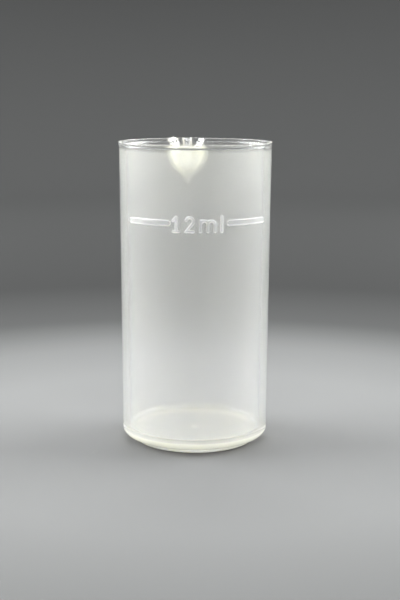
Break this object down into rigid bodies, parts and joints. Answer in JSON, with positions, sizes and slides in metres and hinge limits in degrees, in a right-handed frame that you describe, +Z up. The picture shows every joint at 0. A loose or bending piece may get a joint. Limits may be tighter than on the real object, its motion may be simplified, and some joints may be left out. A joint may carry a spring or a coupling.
{
  "type": "fuel sampler cup",
  "caption": "Small tapered cup of milky translucent plastic for a fuel sample, with a stepped foot, a pouring spout in the rim and a raised 12 ml level mark.",
  "frame": {"origin": "on the cup's axis, at the plane of the foot that the cup stands on", "axes": "+Z up the cup's axis to the rim, -Y towards the 12 ml level mark, +X to the right as the mark is read, +Y towards the back, where the pouring spout stands 4.5 degrees off +Y towards -X"},
  "size_m": [0.024, 0.0254, 0.0475],
  "materials": {
    "milky_plastic": "uncoloured translucent polypropylene, softly frosted, glossy on the outside",
    "milky_base": "the same plastic where it is thick, creamy and brighter because it gathers light",
    "clear_rim": "the same plastic where it is thin, nearly clear, glossy, with a rough moulded edge",
    "raised_mark": "the same plastic, raised and smooth, bright along its edges"
  },
  "bodies": {
    "root": {"cup_wall": "milky_plastic", "cup_floor": "milky_base", "foot_ring": "milky_base", "gate_stub": "milky_base", "rim_lip": "clear_rim", "pour_spout": "clear_rim", "level_bar_left": "raised_mark", "level_bar_right": "raised_mark", "figure_one": "raised_mark", "figure_two": "raised_mark", "letter_m": "raised_mark", "letter_l": "raised_mark"}
  },
  "joints": []
}
